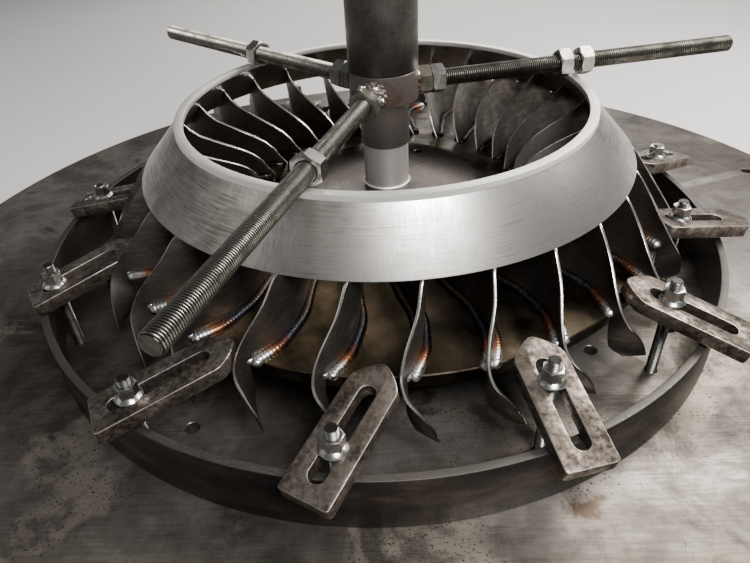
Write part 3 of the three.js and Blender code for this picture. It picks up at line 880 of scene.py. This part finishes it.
def make_boss():
    profile = sleeve(SHAFT_RADIUS + SEAT, BOSS_RADIUS, SEAT, BOSS_TOP, BOSS_EDGE)
    disc = add_part("machined_disc", lathe(profile, DISC_SIDES), "machined", "hub_boss")
    top = TABLE_TOP + BOSS_TOP
    place = polar(*BOSS_HOLE_PLACE)
    cut_holes(disc, [hole_cutter(BOSS_HOLE_RADIUS, place, top - BOSS_HOLE_DEPTH, top, COUNTERSINK)])


def smooth(table, position):
    """Smooth value of a table of position and value rows."""
    last = len(table) - 1
    if position <= table[0][0]:
        return table[0][1]
    if position >= table[last][0]:
        return table[last][1]
    i = max(k for k in range(last) if table[k][0] <= position)

    def slope(k):
        before, after = table[max(k - 1, 0)], table[min(k + 1, last)]
        return (after[1] - before[1]) / (after[0] - before[0])

    width = table[i + 1][0] - table[i][0]
    rise = table[i + 1][1] - table[i][1]
    t = (position - table[i][0]) / width
    a = slope(i) * width - rise
    b = rise - slope(i + 1) * width
    return table[i][1] + rise * t + t * (1 - t) * (a * (1 - t) + b * t)


def foot_azimuth(radius):
    return smooth(BLADE_CAMBER, radius / MM)


def hub_height(radius):
    share = (radius - BOSS_RADIUS) / (HUB_RADIUS - BOSS_RADIUS)
    return HUB_TOP_INNER + (HUB_TOP_RIM - HUB_TOP_INNER) * share


def hub_heat(x, y):
    """How strongly the welding has coloured a place: most beside a blade's foot, and less further in."""
    radius = math.hypot(x, y)
    azimuth = math.degrees(math.atan2(x, -y))
    aside = (azimuth - foot_azimuth(radius) + PITCH_ANGLE / 2) % PITCH_ANGLE - PITCH_ANGLE / 2
    distance = abs(math.radians(aside) * radius)
    welded = min(1, max(0, (radius - HEAT_START) / HEAT_RISE))
    return max(0, 1 - distance / HEAT_REACH) * (HEAT_LEAST + (1 - HEAT_LEAST) * welded)


def make_hub():
    inner = BOSS_RADIUS + SEAT
    top = [inner + (HUB_RADIUS - MM - inner) * k / HUB_RINGS for k in range(HUB_RINGS + 1)]
    profile = [(inner, hub_height(inner) - HUB_THICKNESS), (HUB_RADIUS, HUB_TOP_RIM - HUB_THICKNESS)]
    profile += [(HUB_RADIUS, HUB_TOP_RIM - MM)]
    profile += [(radius, hub_height(radius)) for radius in reversed(top)]
    sides = BLADE_COUNT * HUB_SIDES_PER_BLADE
    mesh = make_mesh("conical_hub_plate", *lathe(raised(profile), sides))
    heat = mesh.attributes.new("heat", "FLOAT", "POINT")
    for vert in mesh.vertices:
        heat.data[vert.index].value = hub_heat(vert.co.x, vert.co.y)
    add_object("conical_hub_plate", mesh, ["hub"], "hub_plate")


def make_shroud():
    profile = soft_profile([
        (SHROUD_INNER_RADIUS, SHROUD_BOTTOM), (SHROUD_RADIUS, SHROUD_BOTTOM),
        (INLET_OUTER_RADIUS, LIP_BOTTOM), (INLET_OUTER_RADIUS, INLET_TOP),
        (INLET_INNER_RADIUS, INLET_TOP), (INLET_INNER_RADIUS, LIP_BOTTOM),
    ], SHROUD_EDGE, 2)
    add_part("conical_shroud", lathe(profile, PLATE_SIDES), "shroud", "shroud")


# Shaft, collar and tube

def make_shaft():
    """The turned foot ends in a small fillet on the disc, and the upper part is a little thicker."""
    reach = SHAFT_FILLET
    sunk = BOSS_TOP - MM
    profile = [(0, SEAT), (SHAFT_RADIUS, SEAT), (SHAFT_RADIUS, sunk), (SHAFT_RADIUS + reach, sunk)]
    for k in range(9):
        angle = math.radians(90 * k / 8)
        height = BOSS_TOP + reach * (1 - math.cos(angle)) + 0.1 * MM
        profile.append((SHAFT_RADIUS + reach * (1 - math.sin(angle)), height))
    profile += [(SHAFT_RADIUS, SHAFT_STEP), (0, SHAFT_STEP)]
    add_part("shaft_foot", lathe(raised(profile), SHAFT_SIDES, False), "turned_bright", "shaft")
    upper = SHAFT_UPPER_RADIUS
    profile = [
        (0, SHAFT_STEP - MM), (upper - MM, SHAFT_STEP), (upper, SHAFT_STEP + MM),
        (upper, SHAFT_TOP - 2 * MM), (upper - 2 * MM, SHAFT_TOP), (0, SHAFT_TOP),
    ]
    add_part("shaft_upper", lathe(raised(profile), SHAFT_SIDES, False), "shaft_grey")


def make_collar():
    profile = sleeve(SHAFT_UPPER_RADIUS + SEAT, COLLAR_RADIUS, COLLAR_BOTTOM, COLLAR_TOP, COLLAR_EDGE)
    parts, nuts = [lathe(profile, SHAFT_SIDES)], []
    for _, azimuth, _, nut_end, _ in RODS:
        start = nut_end - NUT_THICKNESS
        nut = hex_nut(NUT_FLATS, start, nut_end, ROD_RADIUS - THREAD_GRIP)
        neck = [(0, WELD_NECK_START), (WELD_NECK_RADIUS, WELD_NECK_START)]
        neck += [(WELD_NECK_RADIUS, start), (0, start)]
        nuts.append(transformed(nut, along_rod(azimuth)))
        parts.append(transformed(lathe(neck, NECK_SIDES, False), along_rod(azimuth)))
    add_part("rusty_collar", join_parts(parts), "collar", "collar")
    add_part("welded_nuts", join_parts(nuts), "dull_nut")


def weld_drop(rod_azimuth, angle, reach, height, radius_range, roughness=0.16):
    """A drop of weld metal on a welded nut's neck."""
    place = Vector((reach * math.cos(angle), reach * math.sin(angle), height))
    return blob(along_rod(rod_azimuth) @ place, random.uniform(*radius_range), roughness=roughness)


def make_collar_welds():
    """Weld metal between the collar and each nut: a dull ring of overlapping drops and a few bright ones."""
    dull, bright = [], []
    for number, (_, azimuth, _, nut_end, _) in enumerate(RODS):
        end = nut_end - NUT_THICKNESS
        length = end - WELD_START
        rings = max(1, round(length / WELD_ROW))
        for row in range(rings):
            for k in range(DROP_COUNT):
                angle = 2 * math.pi * (k + 0.5 * row) / DROP_COUNT + random.uniform(-0.1, 0.1)
                height = WELD_START + length * (row + 0.5) / rings + random.uniform(-1, 1) * MM
                reach = WELD_NECK_RADIUS - 0.5 * MM
                dull.append(weld_drop(azimuth, angle, reach, height, DULL_DROP))
        for degrees in (150, 95, 205):
            angle = math.radians(degrees + 20 * number)
            reach = WELD_NECK_RADIUS + MM
            bright.append(weld_drop(azimuth, angle, reach, end - 4 * MM, BRIGHT_DROP, 0.22))
    for name, parts, finish in (("collar_welds", dull, "collar"), ("collar_drops", bright, "weld_silver")):
        add_object(name, make_mesh(name, *join_parts(parts), smooth_angle=80), [finish])


def make_tube():
    profile = sleeve(SHAFT_UPPER_RADIUS + 2 * SEAT, COLLAR_RADIUS, COLLAR_TOP + SEAT, TUBE_TOP, TUBE_EDGE)
    add_part("dark_tube", lathe(profile, SHAFT_SIDES), "tube", "tube")


# Threaded rods and nuts

def make_rods():
    for name, azimuth, end, nut_end, jam_nut in RODS:
        start = COLLAR_RADIUS + 2 * SEAT
        mesh = threaded_bar(f"rod_{name}", ROD_RADIUS, ROD_PITCH, start, end, ROD_SIDES, along_rod(azimuth))
        add_object(f"rod_{name}", mesh, ["thread"], f"threaded_rod_{name}")
        if jam_nut:
            start = nut_end + SEAT
            nut = hex_nut(NUT_FLATS, start, start + NUT_THICKNESS, ROD_RADIUS - THREAD_GRIP)
            add_part(f"jam_nut_{name}", nut, "nut", matrix=along_rod(azimuth))


def make_centring_nuts():
    azimuths = {name: azimuth for name, azimuth, *_ in RODS}
    half = NUT_THICKNESS / 2
    for label in ("front", "right_inner", "right_outer", "left"):
        node = f"centring_nut_{label}"
        low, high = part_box(node)
        centre = (low + high) / 2
        middle = math.hypot(centre.x, centre.y)
        nut = hex_nut(NUT_FLATS, middle - half, middle + half, ROD_RADIUS + SEAT)
        lay = along_rod(azimuths[label.split("_")[0]])
        add_part(f"nut_{label}", nut, "nut", node, f"nut_{label}", lay)


# Blades and their welds

def shroud_height(radius):
    share = (radius - INLET_INNER_RADIUS) / (SHROUD_INNER_RADIUS - INLET_INNER_RADIUS)
    return LIP_BOTTOM + (SHROUD_BOTTOM - LIP_BOTTOM) * share


def blade_top(radius):
    if radius > BLADE_TIP_RADIUS:
        return max(shroud_height(radius), SHROUD_BOTTOM)
    return smooth(LEADING_EDGE, radius / MM) * MM


def blade_azimuth(radius, height):
    foot = hub_height(radius)
    full = max(blade_top(radius) - foot, MM)
    share = min(1, max(0, (height - foot) / full))
    return foot_azimuth(radius) + smooth(BLADE_LEAN, radius / MM) * share


def leading_edge(columns):
    """Points at even shares of the leading edge's length, as radius, height and azimuth."""
    first, last = LEADING_EDGE[0][0], LEADING_EDGE[-1][0]
    steps = 300
    curve = []
    for k in range(steps + 1):
        radius = first + (last - first) * k / steps
        curve.append(Vector((radius, smooth(LEADING_EDGE, radius))))
    lengths = [0]
    for before, after in zip(curve, curve[1:]):
        lengths.append(lengths[-1] + (after - before).length)
    row = []
    for j in range(columns + 1):
        want = lengths[-1] * j / columns
        point = curve[min(range(steps + 1), key=lambda k: abs(lengths[k] - want))] * MM
        row.append(Vector((point.x, point.y, blade_azimuth(point.x, point.y))))
    return row


def blade_rows(columns):
    """Rows of radius, height and azimuth from the leading edge round to the end of the tail."""
    rows = [leading_edge(columns)]
    shroud_feet = len(PASSAGE_FEET) - len(TRAILING_TIPS)
    for i, foot_mm in list(enumerate(PASSAGE_FEET))[1:]:
        foot = Vector((foot_mm * MM, hub_height(foot_mm * MM) + SEAT))
        if i < shroud_feet:
            share = i / (shroud_feet - 1)
            radius = BLADE_TIP_RADIUS + (SHROUD_INNER_RADIUS - SEAT - BLADE_TIP_RADIUS) * share
            tip = Vector((radius, shroud_height(radius) - 2 * SEAT))
        else:
            tip = Vector(TRAILING_TIPS[i - shroud_feet]) * MM
        points = [foot.lerp(tip, j / columns) for j in range(columns + 1)]
        rows.append([Vector((p.x, p.y, blade_azimuth(p.x, p.y))) for p in points])
    for inner, outer in TAIL:
        first = Vector((inner[0] * MM, inner[1] * MM, inner[2]))
        last = Vector((outer[0] * MM, outer[1] * MM, outer[2]))
        rows.append([first.lerp(last, j / columns) for j in range(columns + 1)])
    return rows


def flowing(rows, steps):
    """More rows between the given ones, on smooth curves through them."""
    result = []
    last = len(rows) - 1
    for i in range(last):
        for k in range(steps):
            t = k / steps
            row = []
            for j in range(len(rows[0])):
                p0, p1 = rows[max(i - 1, 0)][j], rows[i][j]
                p2, p3 = rows[i + 1][j], rows[min(i + 2, last)][j]
                square = (2 * p0 - 5 * p1 + 4 * p2 - p3) * t ** 2
                cube = (3 * p1 - p0 - 3 * p2 + p3) * t ** 3
                row.append(0.5 * (2 * p1 + (p2 - p0) * t + square + cube))
            result.append(row)
    result.append(rows[last])
    return result


def with_margins(rows, margin):
    """One more row close to each end."""
    def beside(end, following):
        return [a + (b - a).normalized() * margin for a, b in zip(end, following)]

    return [rows[0], beside(rows[0], rows[1]), *rows[1:-1], beside(rows[-1], rows[-2]), rows[-1]]


def blade_mesh():
    rows = flowing(blade_rows(BLADE_COLUMNS), BLADE_STEPS)
    middle = with_margins([[polar(p.x, p.z, p.y + TABLE_TOP) for p in row] for row in rows], BLADE_BEVEL)
    middle = list(zip(*with_margins(list(zip(*middle)), BLADE_BEVEL)))
    last_row, last_column = len(middle) - 1, len(middle[0]) - 1
    points = []
    for side in (1, -1):
        for i in range(last_row + 1):
            for j in range(last_column + 1):
                along = middle[min(i + 1, last_row)][j] - middle[max(i - 1, 0)][j]
                across = middle[i][min(j + 1, last_column)] - middle[i][max(j - 1, 0)]
                normal = along.cross(across).normalized()
                at_edge = i in (0, last_row) or j in (0, last_column)
                half = BLADE_THICKNESS / 2 - (BLADE_BEVEL if at_edge else 0)
                points.append(middle[i][j] + normal * side * half)

    def at(side, i, j):
        return (side * (last_row + 1) + i) * (last_column + 1) + j

    faces, slots = [], []

    def quad(slot, *corners):
        faces.append(tuple(at(*corner) for corner in corners))
        slots.append(slot)

    for i in range(last_row):
        for j in range(last_column):
            for side in (0, 1):
                quad(0, (side, i, j), (side, i + 1, j), (side, i + 1, j + 1), (side, i, j + 1))
        for j in (0, last_column):
            quad(1, (0, i, j), (0, i + 1, j), (1, i + 1, j), (1, i, j))
    for j in range(last_column):
        for i in (0, last_row):
            quad(1, (0, i, j), (0, i, j + 1), (1, i, j + 1), (1, i, j))
    return make_mesh("blade", points, faces, smooth_angle=45, face_slots=slots)


def make_blades():
    mesh = blade_mesh()
    for finish in ("blade", "cut_edge"):
        mesh.materials.append(FINISHES[finish].material)
    for k in range(BLADE_COUNT):
        number = f"{k + 1:02d}"
        add_object(f"curved_blade_{number}", mesh, [], f"blade_{number}", turn=k * PITCH_ANGLE)


def bead_part(side):
    """A rippled fillet weld on one side of a blade's foot, with a drop at its outer end."""
    path, radii = [], []
    count = int((BEAD_END - BEAD_START) / BEAD_STEP)
    for k in range(count + 1):
        radius = BEAD_START + BEAD_STEP * k
        wander = 0.4 * MM * math.sin(k * 0.13 + side)
        shift = side * math.degrees((BLADE_THICKNESS / 2 + BEAD_OFFSET + wander) / radius)
        path.append(polar(radius, foot_azimuth(radius) + shift, hub_height(radius) + TABLE_TOP))
        ripple = 0.2 * math.sin(k * 1.9)
        taper = min(1, 0.35 + k * 0.1)
        radii.append((BEAD_RADIUS_MM + k / count + ripple) * MM * taper)
    return join_parts([sweep(path, radii, 12), blob(path[-1], BEAD_DROP_RADIUS, (1, 1, 0.8), 0.05)])


def make_beads():
    mesh = make_mesh("weld_bead", *join_parts([bead_part(1), bead_part(-1)]), smooth_angle=70)
    mesh.materials.append(FINISHES["bead"].material)
    for k in range(BLADE_COUNT):
        add_object(f"weld_bead_{k + 1:02d}", mesh, [], turn=k * PITCH_ANGLE)


# Strap clamps

def inset(loop, distance):
    """A closed counter-clockwise loop moved inwards."""
    result = []
    count = len(loop)
    for i, here in enumerate(loop):
        before = (here - loop[i - 1]).normalized()
        after = (loop[(i + 1) % count] - here).normalized()
        normal = (Vector((-before.y, before.x)) + Vector((-after.y, after.x))).normalized()
        result.append(here + normal * distance)
    return result


def strap_outline(length, turned):
    """Counter-clockwise, from the toe outwards. A turned strap has its point at the heel."""
    side = [(length - along if turned else along, -across) for along, across in STRAP_POINT]
    side.append((0 if turned else length, -STRAP_WIDTH / 2))
    if turned:
        side.reverse()
    corners = side + [(x, -y) for x, y in reversed(side)]
    return rounded(corners, STRAP_CORNER, 4)


def slot_outline(length, turned):
    half = SLOT_WIDTH / 2
    margin = TURNED_SLOT_FROM_POINT if turned else SLOT_FROM_POINT
    ends = sorted(length - x if turned else x for x in (margin + half, length - SLOT_FROM_SQUARE - half))
    loop = []
    for centre, start in ((ends[1], -90), (ends[0], 90)):
        for i in range(13):
            angle = math.radians(start + i * 15)
            loop.append(Vector((centre + half * math.cos(angle), half * math.sin(angle))))
    return loop


def strap_part(length, turned):
    """A slotted flat bar with bevelled edges: its faces, and which of them are bevels."""
    outer, slot = strap_outline(length, turned), slot_outline(length, turned)
    bevel = STRAP_BEVEL
    levels = [(0, bevel), (0.3 * bevel, 0.3 * bevel), (bevel, 0)]
    levels += [(STRAP_THICKNESS - z, d) for z, d in reversed(levels)]
    points, faces, slots = [], [], []
    for loop, sign in ((outer, 1), (slot, -1)):
        start, count = len(points), len(loop)
        for height, distance in levels:
            points += [Vector((p.x, p.y, height)) for p in inset(loop, sign * distance)]
        for level in range(len(levels) - 1):
            faces += band(start + level * count, start + (level + 1) * count, count)
            slots += [0 if level == 2 else 1] * count
    caps = [inset(outer, bevel), inset(slot, -bevel)]
    flat = [[Vector((p.x, p.y, 0)) for p in loop] for loop in caps]
    first_slot = len(levels) * len(outer)
    for level in (0, len(levels) - 1):
        index = [level * len(outer) + k for k in range(len(outer))]
        index += [first_slot + level * len(slot) + k for k in range(len(slot))]
        for triangle in tessellate_polygon(flat):
            faces.append(tuple(index[i] for i in triangle))
            slots.append(0)
    return points, faces, slots


def reach_under_strap(toe, direction, length, radius, centre_x):
    """Distance from the toe, along the strap, of the farthest point of a circle that lies under it."""
    reach = 0
    for i in range(720):
        point = polar(radius, i / 2)
        point.x += centre_x
        point -= toe
        along = point.dot(direction)
        across = point.x * direction.y - point.y * direction.x
        if abs(across) <= STRAP_WIDTH / 2 and along < length:
            reach = max(reach, along)
    return reach


def make_flange_nut(label, bottom, stand):
    """A hexagon nut on a round flange with a sloping top."""
    flange_top = bottom + FLANGE_HEIGHT
    slope_top = flange_top + 0.8 * MM
    bore = STUD_RADIUS - 0.3 * MM
    low = bottom - FLANGE_SINK
    profile = rounded([
        (bore, low), (FLANGE_RADIUS, low), (FLANGE_RADIUS, low + FLANGE_WALL),
        (STUD_NUT_FLATS / 2, slope_top), (bore, slope_top),
    ], 0.5 * MM, 2)
    flange = lathe([tuple(p) for p in profile], FLANGE_SIDES)
    hexagon = hex_nut(STUD_NUT_FLATS, flange_top - 2 * MM, flange_top + STUD_NUT_HEIGHT, bore)
    add_part(f"flange_nut_{label}", join_parts([flange, hexagon]), "flange_nut", matrix=stand)


def make_clamp(number, clamp):
    toe, direction, stud_place = clamp_place(clamp)
    length, stud, stud_top = (value * MM for value in clamp[3:])
    rim = reach_under_strap(toe, direction, length, HUB_RADIUS, 0)
    ring = reach_under_strap(toe, direction, length, RING_RADIUS, RING_SHIFT_X)
    slope = (HUB_TOP_RIM - RING_HEIGHT) / (ring - rim)
    tilt = math.atan(slope)
    turn = Matrix.Rotation(math.atan2(direction.y, direction.x), 4, "Z")
    stand = Matrix.Translation((toe.x, toe.y, TABLE_TOP)) @ turn
    lift = Matrix.Translation((rim, 0, HUB_TOP_RIM + 1.5 * SEAT))
    lean = lift @ Matrix.Rotation(tilt, 4, "Y") @ Matrix.Translation((-rim, 0, 0))
    points, faces, slots = strap_part(length, number == TURNED_STRAP)
    label = f"{number:02d}"
    mesh = make_mesh(f"strap_{label}", points, faces, 50, slots, stand @ lean)
    add_object(f"strap_{label}", mesh, ["strap", "strap_edge"], f"strap_clamp_{label}")
    onto_stud = Matrix.Translation((stud_place.x, stud_place.y, TABLE_TOP))
    stud_bar = (STUD_RADIUS, STUD_PITCH, -STUD_DEPTH, stud_top, STUD_SIDES)
    add_object(f"stud_{label}", threaded_bar(f"stud_{label}", *stud_bar, onto_stud), ["stud"])
    top = HUB_TOP_RIM + STRAP_THICKNESS / math.cos(tilt) - (stud - rim) * slope
    # Every nut came to rest at an angle of its own
    own_turn = Matrix.Rotation(math.radians(17 * number), 4, "Z")
    make_flange_nut(label, top, onto_stud @ turn @ own_turn)


def make_floor():
    half = 7
    corners = [(-half, -half, 0), (half, -half, 0), (half, half, 0), (-half, half, 0)]
    mesh = bpy.data.meshes.new("pale_floor")
    mesh.from_pydata(corners, [], [(0, 1, 2, 3)])
    mesh.materials.append(floor_finish().material)
    new_object("pale_floor", mesh)


make_camera()
make_lights()
make_table()
make_ring()
make_boss()
make_hub()
make_shroud()
make_shaft()
make_collar()
make_collar_welds()
make_tube()
make_rods()
make_centring_nuts()
make_blades()
make_beads()
for clamp_number, clamp_row in enumerate(CLAMPS, 1):
    make_clamp(clamp_number, clamp_row)
make_floor()
